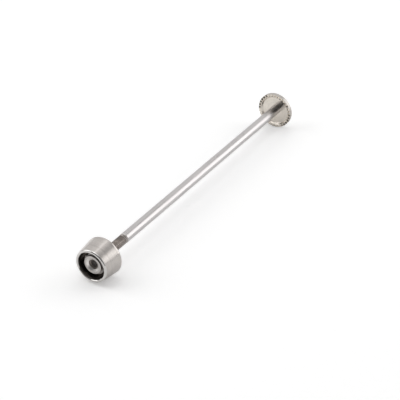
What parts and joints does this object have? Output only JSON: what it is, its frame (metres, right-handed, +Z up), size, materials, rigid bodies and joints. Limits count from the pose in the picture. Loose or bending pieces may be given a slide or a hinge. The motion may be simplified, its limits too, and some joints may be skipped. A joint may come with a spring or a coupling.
{
  "type": "locking wheel skewer",
  "caption": "Threaded steel wheel skewer with a fixed disc head and a coded nut sunk in a free-turning tapered guard cup, so that only the matching key can undo it.",
  "frame": {"origin": "on the rod's axis, in the plane of the head's serrated clamping rim", "axes": "+Y along the rod from the head to the nut, +Z up with the rod level, as across a wheel's hub"},
  "size_m": [0.0192, 0.1717, 0.0192],
  "materials": {
    "polished_rod": "polished steel",
    "turned_steel": "fine turned steel",
    "nut_steel": "turned steel",
    "spring_steel": "dark spring steel"
  },
  "bodies": {
    "skewer": {"skewer_rod": "polished_rod", "skewer_head": "turned_steel"},
    "ring": {"retaining_ring": "spring_steel"},
    "nut": {"coded_nut": "nut_steel"},
    "cup": {"guard_cup": "turned_steel"}
  },
  "joints": [
    {"name": "nut_travel", "type": "slide", "parent": "skewer", "child": "ring", "axis": [0, 1, 0], "range_m": [-0.0144, 0.0078]},
    {"name": "nut_turn", "type": "hinge", "parent": "ring", "child": "nut", "pos_m": [0, 0.1615, 0], "axis": [0, 1, 0], "range_deg": [-6481, 3511]},
    {"name": "cup_spin", "type": "hinge", "parent": "ring", "child": "cup", "pos_m": [0, 0.1615, 0], "axis": [0, 1, 0], "continuous": true}
  ],
  "couplings": [
    {"joint": "nut_turn", "follows": "nut_travel", "rad_per_m": 7854}
  ]
}
